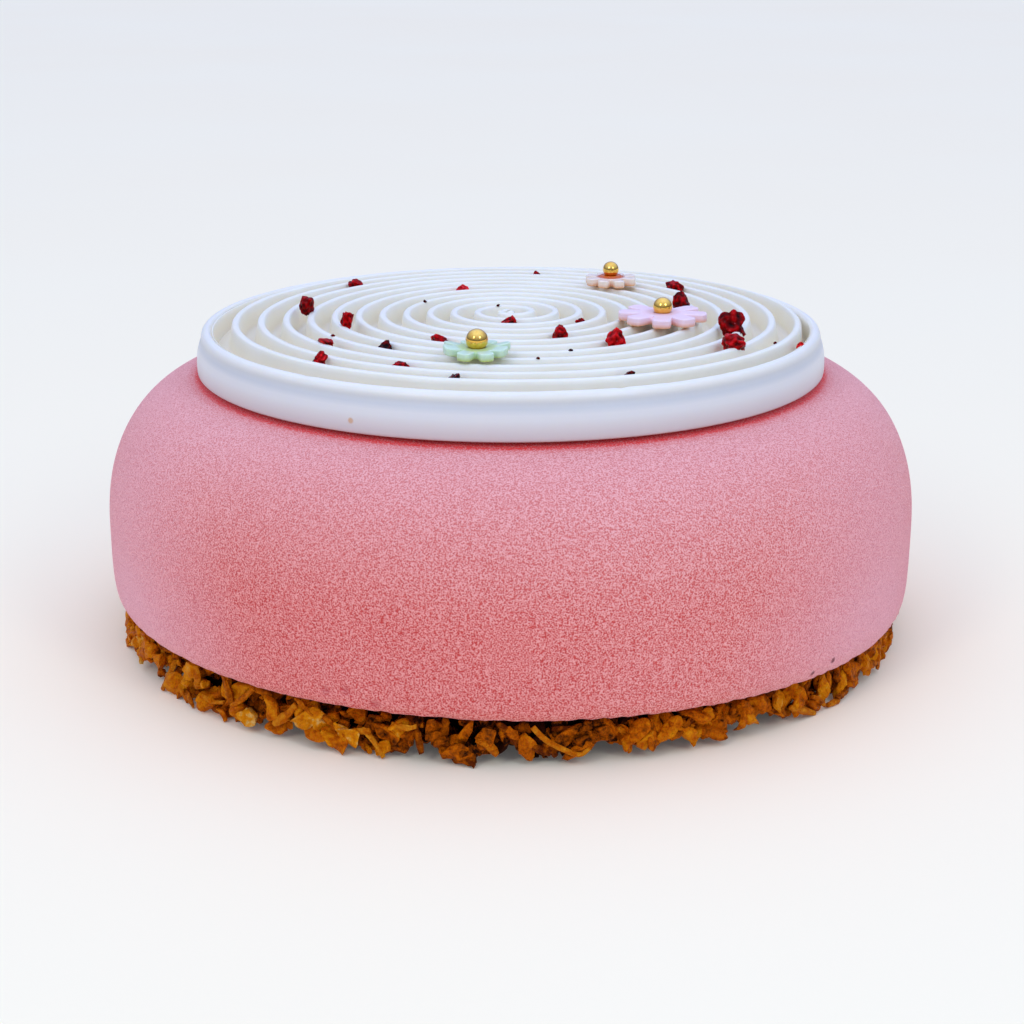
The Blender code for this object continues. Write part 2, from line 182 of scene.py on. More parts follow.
# Flowers: place, petal reach, petal width, thickness, rise of the petals at the left and
# right, rise of the hub, radius of the pearl, first angle
PETALS = 8
FLOWERS = {
    "mint": ((-0.0068, -0.0446), 0.0071, 0.0031, 0.0017, 0.0010, -0.0004, 0.00230, 19),
    "pink": ((0.0329, -0.0113), 0.0097, 0.0042, 0.0019, 0.0, -0.0007, 0.00212, -7),
    "orange": ((0.0236, 0.0312), 0.0061, 0.0026, 0.0018, 0.0, 0.0004, 0.00188, 22),
}

# Seat of a pearl: its depth, the least thickness left under it and the room round the pearl
SEAT_DEPTH = 0.0009
SEAT_FLOOR = 0.0005
SEAT_ROOM = 0.00006
# Step of the grid in which petals and hub are melted together
MELT_STEP = 0.00016

# Raspberry pieces: place, length, depth, height, rise over the crests, turn in degrees, and
# tint from dark to bright
RASPBERRY = (
    ((-0.0369, 0.0358), 0.0034, 0.0042, 0.0032, 0.0012, 20, 0.50),
    ((-0.0454, 0.0010), 0.0034, 0.0034, 0.0044, 0.0035, 80, 0.40),
    ((-0.0352, -0.0142), 0.0030, 0.0030, 0.0042, 0.0030, 60, 0.50),
    ((-0.0383, -0.0305), 0.0052, 0.0024, 0.0019, 0.0009, 35, 0.58),
    ((-0.0386, -0.0440), 0.0024, 0.0034, 0.0037, 0.0015, 50, 0.50),
    ((-0.0259, -0.0335), 0.0028, 0.0042, 0.0030, 0.0009, 10, 0.05),
    ((-0.0219, -0.0486), 0.0033, 0.0042, 0.0025, 0.0004, 0, 0.45),
    ((-0.0111, -0.0586), 0.0028, 0.0042, 0.0026, 0.0004, 0, 0.10),
    ((-0.0151, -0.0281), 0.0044, 0.0042, 0.0032, 0.0011, 15, 0.52),
    ((-0.0003, -0.0113), 0.0037, 0.0042, 0.0032, 0.0012, 0, 0.52),
    ((-0.0112, 0.0276), 0.0033, 0.0042, 0.0024, 0.0007, 30, 0.80),
    ((0.0063, 0.0502), 0.0020, 0.0032, 0.0022, 0.0004, 0, 0.40),
    ((0.0103, -0.0254), 0.0030, 0.0042, 0.0042, 0.0022, 70, 0.50),
    ((0.0215, -0.0314), 0.0042, 0.0044, 0.0052, 0.0032, 35, 0.62),
    ((0.0153, -0.0095), 0.0012, 0.0030, 0.0020, 0.0003, 0, 0.40),
    ((0.0389, 0.0312), 0.0042, 0.0042, 0.0034, 0.0015, -15, 0.45),
    ((0.0384, 0.0066), 0.0042, 0.0042, 0.0050, 0.0036, 0, 0.35),
    ((0.0475, -0.0165), 0.0046, 0.0062, 0.0063, 0.0043, 0, 0.35),
    ((0.0465, -0.0315), 0.0068, 0.0056, 0.0048, 0.0025, 20, 0.52),
    ((0.0614, -0.0234), 0.0016, 0.0020, 0.0020, 0.0006, 0, 0.80),
    ((0.0234, -0.0548), 0.0016, 0.0034, 0.0022, 0.0002, 0, 0.18),
    ((-0.0194, 0.0105), 0.0009, 0.0009, 0.0007, 0.0004, 0, 0.10),
    ((-0.0028, 0.0050), 0.0009, 0.0009, 0.0006, 0.0004, 0, 0.10),
    ((-0.0375, -0.0244), 0.0011, 0.0010, 0.0007, 0.0004, 0, 0.30),
    ((0.0122, -0.0386), 0.0010, 0.0010, 0.0006, 0.0003, 0, 0.20),
    ((0.0552, -0.0288), 0.0008, 0.0008, 0.0006, 0.0003, 0, 0.30),
    ((0.0055, -0.0456), 0.0008, 0.0008, 0.0006, 0.0003, 0, 0.20),
)

# Pieces above the first height are made finest and those under the second coarsest
LARGE_PIECE = 0.0047
SMALL_PIECE = 0.0012
# Shape of a piece, as shares of its size: flat facets, one hollow, folds and creases
FACETS = 7
HOLLOW_SIZE = 0.22
HOLLOW_DEPTH = 0.30
FOLD_DEPTH = 0.17
CREASE_DEPTH = 0.07

# Flake base
FLAKE_REACH = 0.0881
CORE_RADIUS = 0.0822
BASE_FLAT_RADIUS = 0.0740
CORE_SEGMENTS = 360
CORE_ROWS = 12
# Relief of the core, and how it narrows towards its foot
CORE_RELIEF = 0.0016
CORE_FINE_RELIEF = 0.0004
CORE_INSET = 0.0008
FOOT_INSET = 0.0050
FOOT_RISE = 0.0020
OPENING_HALF_WIDTH = radians(2.6)
OPENING_HEIGHT = 0.0050
OPENINGS = (
    (-154, 0.55),
    (-119, 1.00),
    (-102, 0.80),
    (-91, 0.75),
    (-84, 0.35),
    (-78, 0.90),
    (-73, 0.45),
    (-68, 0.70),
    (-61, 0.45),
    (-55, 0.95),
    (-29, 0.50),
)
# A long strand curls down at the front: distance to the right and height along it
LONG_STRAND = (
    (0.0042, 0.0086),
    (0.0066, 0.0060),
    (0.0099, 0.0039),
    (0.0132, 0.0025),
    (0.0153, 0.0038),
)
STRAND_RADIUS = 0.00042
SHARD_COUNT = 560
SLIVER_COUNT = 130
NUGGET_COUNT = 800
# Close under the mousse the pieces lie further in, and all round their reach is uneven
UNDER_BAND = 0.0028
UNDER_INSET = 0.0036
UNEVEN_INSET = 0.0004
# The pieces stay this far above the floor
FLOOR_GAP = 0.00002
# Painted shade: how much darker a piece is for each metre that it lies further in
PAINTED_SHADE_PER_DEPTH = 105
# Painted shade makes the flakes darker round the middle of the front, and painted light a little lighter
# to the left
PAINTED_SHADE_HEADING = radians(271)
PAINTED_SHADE_HALF_WIDTH = radians(14)
PAINTED_SHADE_SHARE = 0.36
PAINTED_LIGHT_LEFT = 0.08
# How deep the flakes' fine relief is
FLAKE_RELIEF = 0.0009


def linear(red, green, blue):
    """Turn a colour as seen, 0 to 255, into the values that a shader takes."""
    result = []
    for level in (red, green, blue):
        share = level / 255
        if share <= 0.04045:
            result.append(share / 12.92)
        else:
            result.append(((share + 0.055) / 1.055) ** 2.4)
    return (*result, 1.0)


# Colours, as seen

VELVET_DIP_SHADED = linear(213, 77, 70)
VELVET_DIP_WARM_LIT = linear(203, 60, 53)
VELVET_TOP_LIT = linear(251, 171, 161)
VELVET_TOP_WARM_LIT = linear(245, 150, 138)
VELVET_PAINTED_SHEEN = linear(255, 208, 192)
VELVET_SIDE_SHEEN = linear(246, 184, 190)
PAINTED_CREASE_GLOW = linear(236, 96, 86)
PAINTED_CREASE_SHADOW = linear(238, 48, 34)
PIT_SHADE_RED = linear(110, 30, 36)
DENT_SHADE_RED = linear(190, 70, 74)
CHOCOLATE = linear(244, 238, 216)
CHOCOLATE_CLOUD = linear(241, 233, 207)
CHOCOLATE_GROOVE_SHADE = linear(240, 229, 200)
SHADED_CHOCOLATE_SIDE = linear(226, 222, 212)
SHADED_CHOCOLATE_SIDE_LOW = linear(209, 195, 188)
CHOCOLATE_UNDER_LIP = linear(200, 200, 194)
SPECK_TAN = linear(214, 176, 140)
RASPBERRY_REDS = (
    (0.0, linear(20, 0, 0)),
    (0.35, linear(102, 0, 0)),
    (0.65, linear(170, 0, 2)),
    (1.0, linear(230, 24, 28)),
)
RASPBERRY_FROST = linear(226, 120, 124)
BROKEN_EDGE = linear(236, 184, 96)
CORE_SHADE_BROWNS = linear(3, 1, 0), linear(22, 8, 0), linear(80, 38, 1)
GOLDEN_BROWNS = linear(44, 12, 0), linear(204, 97, 0), linear(238, 148, 10)
STRAND_BROWNS = linear(100, 36, 0), linear(200, 100, 0), linear(234, 154, 30)
GOLD = linear(236, 178, 62)
GOLD_LIGHT = linear(248, 202, 90)
# Flowers: top, underside and hub, and their gloss
FLOWER_LOOKS = {
    "mint": (linear(205, 227, 192), linear(190, 204, 60), linear(196, 218, 140), 0.30),
    "pink": (linear(252, 214, 214), linear(240, 160, 96), linear(244, 200, 196), 0.40),
    "orange": (linear(249, 222, 198), linear(244, 164, 96), linear(208, 92, 0), 0.20),
}
FLOOR_PALE = linear(254, 237, 194)
FLOOR_PALER = linear(254, 239, 197)


def between(value, low, high):
    """How far a value has come from low to high, from 0 to 1."""
    return min(max((value - low) / (high - low), 0.0), 1.0)


# Materials

class Shader:
    """A material with a Principled shader, and short ways to add the nodes that feed it."""

    def __init__(self, name):
        self.material = bpy.data.materials.new(name)
        self.material.use_nodes = True
        self.tree = self.material.node_tree
        self.main = self.tree.nodes["Principled BSDF"]
        self.place = self.add("ShaderNodeTexCoord").outputs["Object"]

    def feed(self, sockets, values):
        """Give each socket its value, or link another node's output to it."""
        for socket, value in zip(sockets, values):
            if isinstance(value, bpy.types.NodeSocket):
                self.tree.links.new(value, socket)
            else:
                socket.default_value = value

    def set(self, node=None, **values):
        """Feed the named inputs of a node, or else of the main shader."""
        inputs = (node or self.main).inputs
        self.feed([inputs[key.replace("_", " ")] for key in values], values.values())

    def add(self, kind, **values):
        made = self.tree.nodes.new(kind)
        self.set(made, **values)
        return made

    def noise(self, scale, detail=3.0, roughness=0.5):
        made = self.add("ShaderNodeTexNoise", Vector=self.place, Scale=scale, Detail=detail,
                        Roughness=roughness)
        return made.outputs["Fac"]

    def attribute(self, name):
        made = self.add("ShaderNodeAttribute")
        made.attribute_name = name
        return made.outputs["Fac"]

    def stretch(self, source, low, high, first=0.0, last=1.0):
        made = self.add("ShaderNodeMapRange", Value=source, From_Min=low, From_Max=high,
                        To_Min=first, To_Max=last)
        return made.outputs["Result"]

    def blend(self, share, first, second):
        """Mix two colours, each given as values or as another node's output."""
        made = self.add("ShaderNodeMix")
        made.data_type = "RGBA"
        self.feed((made.inputs[0], made.inputs[6], made.inputs[7]), (share, first, second))
        return made.outputs[2]

    def calculate(self, kind, operation, *values):
        made = self.add(kind)
        made.operation = operation
        self.feed(made.inputs, values)
        return made.outputs

    def combine(self, first, second, operation="ADD"):
        """Calculate with two numbers, each given as a value or as another node's output."""
        return self.calculate("ShaderNodeMath", operation, first, second)[0]

    def ramp(self, source, *stops):
        made = self.add("ShaderNodeValToRGB", Fac=source)
        elements = made.color_ramp.elements
        while len(elements) < len(stops):
            elements.new(0.5)
        for element, (place, colour) in zip(elements, stops):
            element.position = place
            element.color = colour
        return made.outputs["Color"]

    def axis(self, name):
        """One coordinate of the place, in metres."""
        return self.add("ShaderNodeSeparateXYZ", Vector=self.place).outputs[name]

    def distance(self, middle):
        """Distance from a point, or from an upright axis where the point has no height."""
        upright = 1.0 if len(middle) == 3 else 0.0
        kind = "ShaderNodeVectorMath"
        shift = self.calculate(kind, "SUBTRACT", self.place, (*middle, 0.0)[:3])[0]
        flat = self.calculate(kind, "MULTIPLY", shift, (1.0, 1.0, upright))[0]
        return self.calculate(kind, "LENGTH", flat)["Value"]

    def spot(self, skin, middle, inner, outer, weight, colour):
        """Lay a round spot with a soft edge over a colour."""
        near = self.stretch(self.distance(middle), inner, outer, weight, 0.0)
        return self.blend(near, skin, colour)

    def bump(self, source, distance, strength=1.0):
        made = self.add("ShaderNodeBump", Height=source, Strength=strength, Distance=distance)
        self.set(Normal=made.outputs["Normal"])


def velvet_material():
    """Sprayed cocoa butter: wormy grain, pale tops, coral dips, red at the plaque; partly painted light
    and shade.
    """
    shader = Shader("pink_velvet")
    grain = shader.noise(GRAIN_SCALE, detail=0.0)
    share = shader.stretch(grain, 0.28, 0.70)
    # Painted warm light low at the front, partly the spray's own warmer colour; the noise adds the spray's
    # uneven colour
    warm_lit = shader.stretch(shader.distance(WARM_LIGHT_PATCH), *WARM_LIGHT_REACH, 0.7, 0.0)
    warm_lit = shader.combine(warm_lit, shader.stretch(shader.noise(22, detail=2.0), 0.3, 0.7, -0.15, 0.15))
    # Painted sheen: the skin pales towards its top, where the light from above falls
    painted_sheen = shader.stretch(shader.axis("Z"), PAINTED_SHEEN_LOW, PAINTED_SHEEN_HIGH, 0.0, 0.25)
    # The grain's dips hold painted shade and its tops painted light, over the spray's own colours
    dip_shaded = shader.blend(warm_lit, VELVET_DIP_SHADED, VELVET_DIP_WARM_LIT)
    top_lit = shader.blend(warm_lit, VELVET_TOP_LIT, VELVET_TOP_WARM_LIT)
    skin = shader.blend(share, dip_shaded, top_lit)
    skin = shader.blend(painted_sheen, skin, VELVET_PAINTED_SHEEN)
    # Painted sheen in pale patches low at both sides
    for place in PAINTED_SHEEN_PATCHES:
        skin = shader.spot(skin, place, *PAINTED_SHEEN_PATCH_REACH, 0.5, VELVET_SIDE_SHEEN)
    upper = shader.stretch(shader.axis("Z"), SHADOW_CREASE_HEIGHT, PAINTED_SHEEN_HIGH)
    upper = shader.combine(upper, shader.stretch(share, 0.2, 1.0, 1.40, 0.45), "MULTIPLY")
    # Painted red shadow and bounced glow in the crease under the plaque's edge, deeper in the grain's dips
    for reach, weight, red in ((PAINTED_GLOW_REACH, 0.6, PAINTED_CREASE_GLOW), (PAINTED_SHADOW_REACH, 1.0, PAINTED_CREASE_SHADOW)):
        painted_crease = shader.stretch(shader.distance((0.0, 0.0)), SHADOW_CREASE_START, reach, weight, 0.0)
        skin = shader.blend(shader.combine(painted_crease, upper, "MULTIPLY"), skin, red)
    # Painted shade in the pits and in the shallow dents
    for place, radius in PITS:
        skin = shader.spot(skin, place, radius * 0.6, radius * 1.4, 0.9, PIT_SHADE_RED)
    for place, radius in DENTS:
        skin = shader.spot(skin, place, radius * 0.5, radius * 1.5, 0.5, DENT_SHADE_RED)
    shader.set(Base_Color=skin, Roughness=0.85, Sheen_Weight=0.35, Sheen_Roughness=0.45)
    shader.set(Sheen_Tint=(0.98, 0.78, 0.82, 1.0), Specular_IOR_Level=0.2)
    shader.bump(grain, GRAIN_DEPTH, 1.0)
    return shader.material


def chocolate_material():
    """White chocolate: cream coloured and satin, with painted shade in its grooves, on its cooler sides
    and under its lip.
    """
    shader = Shader("white_chocolate")
    cloud = shader.noise(90, detail=4.0)
    share = shader.stretch(cloud, 0.35, 0.65)
    skin = shader.blend(share, CHOCOLATE, CHOCOLATE_CLOUD)
    outside = shader.stretch(shader.distance((0.0, 0.0)), *SIDE_START)
    deep = shader.stretch(shader.axis("Z"), *GROOVE_SHADE, 1.0, 0.0)
    inside = shader.combine(1.0, outside, "SUBTRACT")
    # Painted shade and bounced cream light deep in the grooves
    skin = shader.blend(shader.combine(deep, inside, "MULTIPLY"), skin, CHOCOLATE_GROOVE_SHADE)
    # Painted shade on the sides, cooler than the top and darker and pinker towards the foot
    rise = shader.stretch(shader.axis("Z"), *SIDE_RISE)
    side = shader.blend(rise, SHADED_CHOCOLATE_SIDE_LOW, SHADED_CHOCOLATE_SIDE)
    skin = shader.blend(shader.combine(deep, outside, "MULTIPLY"), skin, side)
    above = shader.stretch(shader.axis("Z"), *LIP_SHADE_LOW)
    below = shader.stretch(shader.axis("Z"), *LIP_SHADE_HIGH, 0.7, 0.0)
    lip = shader.combine(above, below, "MULTIPLY")
    skin = shader.blend(shader.combine(lip, outside, "MULTIPLY"), skin, CHOCOLATE_UNDER_LIP)
    place, radius = SPECK
    shader.set(Base_Color=shader.spot(skin, place, radius * 0.7, radius * 1.2, 1.0, SPECK_TAN))
    shader.set(Roughness=shader.stretch(cloud, 0.3, 0.7, 0.36, 0.48))
    shader.set(Subsurface_Weight=0.25, Subsurface_Scale=0.0015, Subsurface_Radius=(1.0, 0.8, 0.5))
    shader.bump(shader.noise(650, detail=3.0), 0.00006, 0.5)
    return shader.material


def raspberry_material():
    """Dried raspberry: dark to bright red, with painted light and shade, and a few pale, frosty specks."""
    shader = Shader("raspberry")
    patch = shader.noise(600, detail=3.0)
    # The tint holds each piece's own tone and the painted light and shade of its folds and hollow
    share = shader.combine(shader.attribute("tint"), shader.stretch(patch, 0.3, 0.7, -0.10, 0.10))
    red = shader.ramp(share, *RASPBERRY_REDS)
    frost = shader.stretch(shader.noise(1500, detail=2.0), 0.70, 0.80, 0.0, 0.3)
    shader.set(Base_Color=shader.blend(frost, red, RASPBERRY_FROST))
    shader.set(Roughness=0.20, Specular_IOR_Level=0.03, Coat_Weight=0.06, Coat_Roughness=0.08)
    shader.set(Subsurface_Weight=0.08, Subsurface_Scale=0.0008, Subsurface_Radius=(1.0, 0.2, 0.15))
    shader.bump(patch, 0.00008, 0.8)
    return shader.material


def flake_material(name, dark, middle, light):
    """Toasted flakes: golden brown, each with its own tone and its painted shade, patchy and rough."""
    shader = Shader(name)
    patch = shader.noise(700, detail=4.0, roughness=0.65)
    share = shader.combine(shader.attribute("shade"), shader.stretch(patch, 0.3, 0.7, -0.28, 0.26))
    shader.set(Base_Color=shader.ramp(share, (0.0, dark), (0.4, middle), (0.8, light), (1.0, BROKEN_EDGE)))
    shader.set(Roughness=shader.stretch(patch, 0.3, 0.7, 0.34, 0.60))
    shader.set(Specular_IOR_Level=0.05)
    shader.bump(shader.noise(1300, detail=4.0, roughness=0.65), FLAKE_RELIEF, 1.0)
    return shader.material


def gummy_material(name, top, under, middle, hub, hub_radius, low, high, gloss):
    """A translucent slab, tinted more strongly towards its underside and its hub."""
    shader = Shader(name)
    rise = shader.stretch(shader.axis("Z"), low, high)
    body = shader.blend(rise, under, top)
    mottle = shader.stretch(shader.noise(700, detail=3.0), 0.3, 0.7, 0.0, 0.25)
    body = shader.blend(mottle, body, top)
    shader.set(Base_Color=shader.spot(body, middle, hub_radius * 0.8, hub_radius, 1.0, hub))
    shader.set(Subsurface_Weight=0.6, Subsurface_Scale=0.0015, Subsurface_Radius=(1.0, 0.9, 0.7))
    shader.set(Roughness=gloss)
    shader.bump(shader.noise(900, detail=2.0), 0.00008, 0.5)
    return shader.material


def gold_material():
    """Polished golden sugar pearl, with the faint dimples of its sugar coat."""
    shader = Shader("gold_pearl")
    cloud = shader.noise(700, detail=2.0)
    share = shader.stretch(cloud, 0.35, 0.65)
    shader.set(Base_Color=shader.blend(share, GOLD, GOLD_LIGHT))
    shader.set(Roughness=shader.stretch(cloud, 0.3, 0.7, 0.03, 0.08))
    shader.set(Metallic=1.0, Coat_Weight=0.6, Coat_Roughness=0.05)
    shader.bump(shader.noise(900, detail=2.0), 0.00003, 0.5)
    return shader.material


def floor_material():
    """A matt pale floor, very slightly cloudy."""
    shader = Shader("pale_floor")
    share = shader.stretch(shader.noise(3.0), 0.3, 0.7)
    shader.set(Base_Color=shader.blend(share, FLOOR_PALE, FLOOR_PALER))
    shader.set(Roughness=0.8, Emission_Color=(1.0, 0.96, 0.92, 1.0), Emission_Strength=0.05)
    return shader.material


# Meshes

def add_item(name, data):
    """Put a mesh, light or camera into the scene as an object of its own."""
    item = bpy.data.objects.new(name, data)
    bpy.context.scene.collection.objects.link(item)
    return item


def new_piece(name, vertices, faces, material, smooth=True):
    """Make an object from lists of places and faces."""
    mesh = bpy.data.meshes.new(name)
    mesh.from_pydata(vertices, [], faces)
    mesh.validate()
    if smooth:
        mesh.shade_smooth()
    mesh.materials.append(material)
    return add_item(name, mesh)


def finish_piece(name, mesh_data, material):
    """Make a smooth object from finished mesh data."""
    mesh = bpy.data.meshes.new(name)
    mesh_data.to_mesh(mesh)
    mesh_data.free()
    mesh.shade_smooth()
    mesh.materials.append(material)
    return add_item(name, mesh)


def tidy_mesh(item, weld=WELD_DISTANCE):
    """Merge doubled points, where a distance for it is given, and turn all faces outward."""
    mesh_data = bmesh.new()
    mesh_data.from_mesh(item.data)
    if weld:
        bmesh.ops.remove_doubles(mesh_data, verts=mesh_data.verts, dist=weld)
        bmesh.ops.dissolve_degenerate(mesh_data, edges=mesh_data.edges, dist=weld)
    bmesh.ops.recalc_face_normals(mesh_data, faces=mesh_data.faces)
    mesh_data.to_mesh(item.data)
    mesh_data.free()
    item.data.shade_smooth()


def random_vector(draw, reach):
    """Three random numbers, each up to the reach on either side of zero."""
    return Vector([draw.uniform(-reach, reach) for _ in range(3)])


def tube_faces(stations, sides):
    """Faces of a tube through a number of stations, closed at both ends."""
    faces = []
    for station in range(stations - 1):
        for side in range(sides):
            a = station * sides + side
            b = station * sides + (side + 1) % sides
            faces.append((a, b, b + sides, a + sides))
    faces.append(tuple(range(sides - 1, -1, -1)))
    faces.append(tuple((stations - 1) * sides + side for side in range(sides)))
    return faces


def add_numbers(mesh, name, values):
    """Keep one number for each vertex, for a material to read."""
    attribute = mesh.attributes.new(name, "FLOAT", "POINT")
    attribute.data.foreach_set("value", values)


def attach(item, slot, *nodes):
    """Let a piece ride on the cake and stand for the named nodes; the slot is not used."""
    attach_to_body(item, "root")
    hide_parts(*nodes)


def base_top(across):
    """Height of the underside of the mousse at a distance to the right."""
    return BASE_HEIGHT - across * tan(BASE_TILT)


def rounded(share, power):
    """One coordinate of a quarter of a superellipse."""
    return max(share, 0.0) ** (2 / power)


def body_profile(angle):
    """Radius and height of the mousse's outline from the flat top down to its foot."""
    foot_height = base_top(FOOT_RADIUS * cos(angle))
    points = []
    for step in range(SHOULDER_STEPS + 1):
        swing = pi / 2 * (1 - step / SHOULDER_STEPS)
        radius = TOP_RADIUS + (BODY_RADIUS - TOP_RADIUS) * rounded(cos(swing), SHOULDER_POWER)
        height = WIDEST_HEIGHT + (TOP_HEIGHT - WIDEST_HEIGHT) * rounded(sin(swing), SHOULDER_POWER)
        points.append((radius, height))
    for step in range(1, FLANK_STEPS + 1):
        swing = pi / 2 * step / FLANK_STEPS
        radius = FOOT_RADIUS + (BODY_RADIUS - FOOT_RADIUS) * rounded(cos(swing), FLANK_POWER)
        height = WIDEST_HEIGHT - (WIDEST_HEIGHT - foot_height) * rounded(sin(swing), FLANK_POWER)
        points.append((radius, height))
    return points


def turned_faces(columns, rows):
    """Faces of a turned shape that closes on itself.

    After the columns' vertices come two more, the middles of its first and its last row.
    """
    faces = []
    middle = columns * rows
    for column in range(columns):
        after = (column + 1) % columns
        for row in range(rows - 1):
            first = column * rows + row
            second = after * rows + row
            faces.append((first, second, second + 1, first + 1))
        faces.append((after * rows, column * rows, middle))
        faces.append((column * rows + rows - 1, after * rows + rows - 1, middle + 1))
    return faces


def make_mousse():
    """The velvet body, a little uneven all over and ragged at its foot."""
    vertices = []
    rows = 0
    for index in range(BODY_SEGMENTS):
        angle = 2 * pi * index / BODY_SEGMENTS
        across = cos(angle)
        deep = sin(angle)
        profile = body_profile(angle)
        rows = len(profile)
        for radius, height in profile:
            place = Vector((radius * across, radius * deep, height))
            sink = UNEVENNESS * (1 + noise.noise(place * 55))
            foot = 1 - between(height, BASE_HEIGHT, BASE_HEIGHT + FOOT_BAND)
            ragged = abs(noise.noise(place * 330)) + 0.6 * abs(noise.noise(place * 800))
            sink += FOOT_ROUGHNESS * foot * ragged
            lift = FOOT_LIFT * foot * ragged
            for spot, size in DENTS:
                apart = (place - Vector(spot)).length
                sink += DENT_DEPTH * exp(-(apart / size) ** 2)
            vertices.append(((radius - sink) * across, (radius - sink) * deep, height + lift))
    vertices.append((0, 0, TOP_HEIGHT))
    vertices.append((0, 0, BASE_HEIGHT))
    faces = turned_faces(BODY_SEGMENTS, rows)
    item = new_piece("mousse_velvet", vertices, faces, velvet_material())
    tidy_mesh(item)
    item.data.set_sharp_from_angle(angle=SHARP_ANGLE)
    attach(item, "pink_velvet", "mousse")


def crest_surface(radius, angle):
    """Height of the plaque's crests, which fall a little outward and then to the rim."""
    height = CREST_HEIGHT - CREST_FALL * radius ** 2
    share = between(radius, RIM_INNER_RADIUS - PITCH / 2, RIM_INNER_RADIUS)
    share = share * share * (3 - 2 * share)
    height += (RIM_INNER_HEIGHT - height) * share
    return height - CREST_LEAN * radius * sin(angle)


def crest_radius(turns):
    """Distance of the spiral's crest from the middle after a number of turns."""
    radius = PITCH * turns
    return radius + SPREAD * (max(0.0, radius - SPREAD_START) / SPREAD_LENGTH) ** 2


def groove_points(inner, outer, angle):
    """Points down the inner wall of a groove and up its outer wall."""
    width = outer - inner
    widest = 2 * WALL_SHAPE[-1][0] * WALL_DRAFT
    draft = WALL_DRAFT * min(1.0, width / (widest * 1.02))
    full_width = PITCH - 2 * CREST_HALF_WIDTH
    fade = min(1.0, width / (SHALLOW_SHARE * full_width))
    depth = GROOVE_DEPTH * fade
    edge_fall = CREST_SHAPE[0][1] * fade
    down = []
    rise = []
    for along, fall in WALL_SHAPE:
        first = inner + along * draft
        second = outer - along * draft
        sink = edge_fall + (depth - edge_fall) * fall
        down.append((first, crest_surface(first, angle) - sink))
        rise.append((second, crest_surface(second, angle) - sink))
    return down + rise[::-1]


def crest_points(inner, outer, angle):
    """Points over a rounded crest, from its inner to its outer edge."""
    middle = (inner + outer) / 2
    half = (outer - inner) / 2
    share = half / CREST_HALF_WIDTH
    points = []
    for side, shape in ((-1, CREST_SHAPE), (1, CREST_SHAPE[-2::-1])):
        for along, fall in shape:
            radius = middle + side * along * half
            points.append((radius, crest_surface(radius, angle) - fall * share))
    return points


def smooth_path(points, steps):
    """A smooth curve through points, with a number of steps between neighbours."""
    ends = [points[0]] + list(points) + [points[-1]]
    result = []
    for before, first, second, after in zip(ends, ends[1:], ends[2:], ends[3:]):
        for step in range(steps):
            t = step / steps
            spot = []
            for a, b, c, d in zip(before, first, second, after):
                spot.append(0.5 * (2 * b + (c - a) * t + (2 * a - 5 * b + 4 * c - d) * t ** 2
                                   + (3 * b - a - 3 * c + d) * t ** 3))
            result.append(tuple(spot))
    result.append(tuple(points[-1]))
    return result


def rim_points(angle):
    """The rim's outline at an angle: its upper points lean with the crests."""
    lip = crest_surface(RIM_INNER_RADIUS, angle) - CREST_SHAPE[0][1]
    points = [(RIM_INNER_RADIUS, lip)]
    for radius, height in RIM_OUTLINE:
        share = (height - PLAQUE_BOTTOM) / (RIM_INNER_HEIGHT - PLAQUE_BOTTOM)
        points.append((radius, height - share * CREST_LEAN * radius * sin(angle)))
    return smooth_path(points, 4)


def plaque_column(turn):
    """Radius and height of the plaque's upper side along one ray, from its middle outward.

    The spiral's crest moves outward by one pitch for each turn, so a ray at the end of a
    turn crosses the same crests as one at its start.
    """
    angle = 2 * pi * turn
    points = [(0.0, crest_surface(0.0, angle))]
    edge = CREST_HALF_WIDTH
    points.append((edge, crest_surface(edge, angle) - CREST_SHAPE[0][1]))
    for number in range(TURNS):
        middle = crest_radius(number + turn - CREST_PHASE)
        inner = min(max(middle - CREST_HALF_WIDTH, CREST_HALF_WIDTH), RIM_INNER_RADIUS)
        outer = min(max(middle + CREST_HALF_WIDTH, CREST_HALF_WIDTH), RIM_INNER_RADIUS)
        points.extend(groove_points(edge, inner, angle))
        points.extend(crest_points(inner, outer, angle))
        edge = outer
    points.extend(groove_points(edge, RIM_INNER_RADIUS, angle))
    points.extend(rim_points(angle))
    points.append((0.0, PLAQUE_BOTTOM))
    return points


def chipped_share(angle):
    """How much the rim's edge is chipped at an angle, from 0 to 1."""
    share = 0.0
    for first, last in CHIPPED:
        middle = radians((first + last) / 2)
        half = radians((last - first) / 2)
        apart = abs(remainder(angle - middle, 2 * pi))
        share = max(share, between(apart, half, half / 2))
    return share


def make_plaque():
    """The plaque with its spiral groove, a little uneven, with a chipped rim."""
    vertices = []
    rows = 0
    for index in range(PLAQUE_SEGMENTS + 1):
        turn = index / PLAQUE_SEGMENTS
        angle = 2 * pi * turn
        column = plaque_column(turn)
        rows = len(column)
        for radius, height in column:
            vertices.append([radius * cos(angle), radius * sin(angle), height])
    faces = []
    for column in range(PLAQUE_SEGMENTS):
        for row in range(rows - 1):
            first = column * rows + row
            second = first + rows
            faces.append((first, second, second + 1, first + 1))
    item = new_piece("spiral_plaque", vertices, faces, chocolate_material())
    tidy_mesh(item)
    for vertex in item.data.vertices:
        if vertex.co.z < PLAQUE_BOTTOM + HAIR:
            continue
        vertex.co.z -= PLAQUE_UNEVENNESS * (1 + noise.noise(vertex.co * 160))
        radius = hypot(vertex.co.x, vertex.co.y)
        if radius > RIM_INNER_RADIUS and vertex.co.z > CHIP_HEIGHT:
            angle = atan2(vertex.co.y, vertex.co.x)
            rough = PLAQUE_UNEVENNESS + CHIP_DEPTH * chipped_share(angle)
            vertex.co.z -= rough * max(0.0, noise.noise(vertex.co * 1100))
    item.data.set_sharp_from_angle(angle=PLAQUE_SHARP_ANGLE)
    attach(item, "white_chocolate", "chocolate_plaque")


